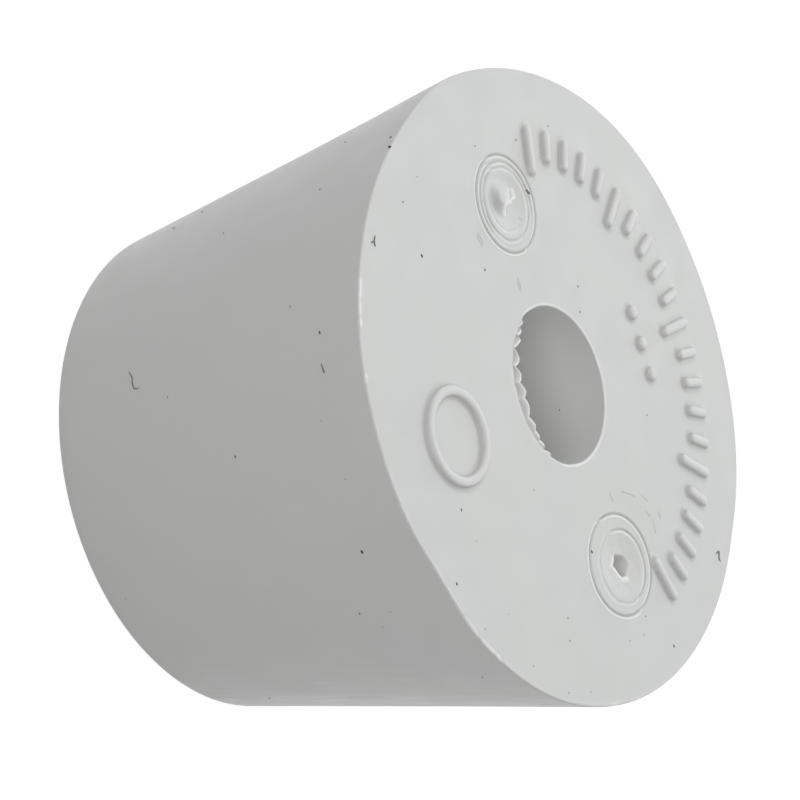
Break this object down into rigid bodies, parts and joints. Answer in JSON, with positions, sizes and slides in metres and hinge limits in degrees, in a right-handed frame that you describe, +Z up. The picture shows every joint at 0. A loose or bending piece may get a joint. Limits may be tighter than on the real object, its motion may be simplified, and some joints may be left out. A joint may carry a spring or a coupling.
{
  "type": "rubber stopper",
  "caption": "Tapered round white rubber stopper with one straight bore from end to end, for a flask or jar neck.",
  "frame": {"origin": "centre of the small end, on the axis of the bore; the stopper stands on its small end", "axes": "+Z up the bore from the small end to the large end, +X from the torn gate mark towards the kept one"},
  "size_m": [0.037, 0.037, 0.0256],
  "materials": {
    "rubber": "matt white rubber"
  },
  "bodies": {
    "root": {"stopper": "rubber"}
  },
  "joints": []
}
